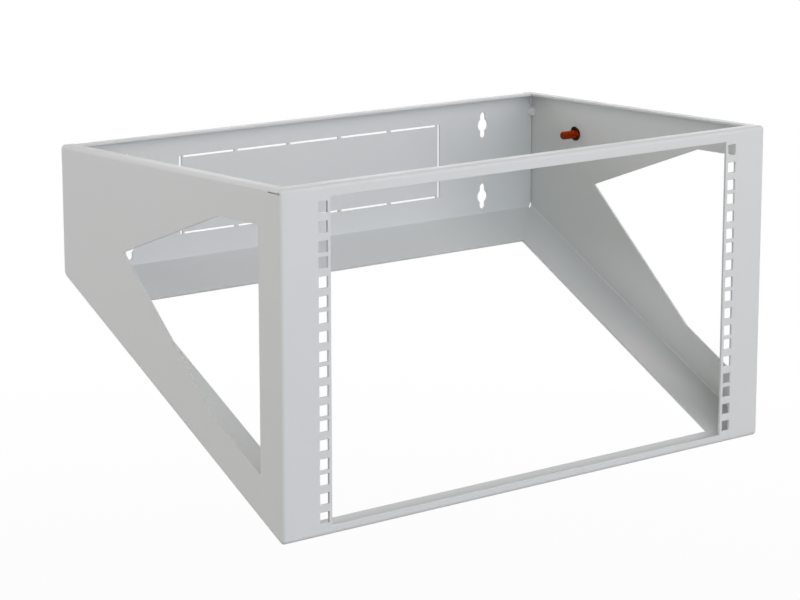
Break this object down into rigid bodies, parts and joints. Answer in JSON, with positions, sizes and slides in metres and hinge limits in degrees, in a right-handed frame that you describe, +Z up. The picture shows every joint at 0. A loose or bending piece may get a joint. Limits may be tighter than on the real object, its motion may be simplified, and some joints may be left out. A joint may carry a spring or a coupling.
{
  "type": "wall mount open frame rack",
  "caption": "Open 19 inch wall rack folded from light grey sheet steel, with a front ring of square holes, cut-out side walls and a keyhole back panel.",
  "frame": {"origin": "on the wall plane, at the middle of the four keyholes", "axes": "+X to the right seen from the front, +Y into the wall, +Z up"},
  "size_m": [0.55, 0.312, 0.2875],
  "materials": {
    "frame_paint": "light grey powder coat, satin",
    "panel_paint": "light grey powder coat, satin",
    "stud_copper": "copper plated, bare thread"
  },
  "bodies": {
    "root": {"folded_frame": "frame_paint", "back_panel": "panel_paint", "earthing_stud": "stud_copper"}
  },
  "joints": []
}
